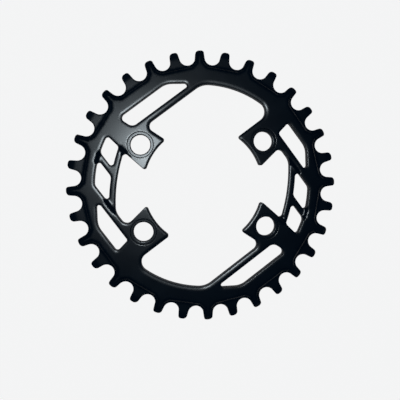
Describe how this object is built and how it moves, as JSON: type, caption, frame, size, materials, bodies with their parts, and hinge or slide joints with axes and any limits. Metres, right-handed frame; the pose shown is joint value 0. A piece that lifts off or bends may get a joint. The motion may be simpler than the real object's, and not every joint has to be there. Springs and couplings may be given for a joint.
{
  "type": "bicycle chainring",
  "caption": "Flat toothed ring for a bicycle crank, with narrow and wide teeth by turns, bolt tabs, slim arms and cut-out windows round an open middle.",
  "frame": {"origin": "on the axle line, in the plane of the back face on which the ring lies", "axes": "+Z along the axle line, out of the front face with the bolt seats; +X through the middle of a wide tooth, to the right of the picture; +Y up the picture"},
  "size_m": [0.1364, 0.1364, 0.0038],
  "materials": {
    "chainring": "satin black anodised"
  },
  "bodies": {
    "root": {"chainring": "chainring"}
  },
  "joints": []
}
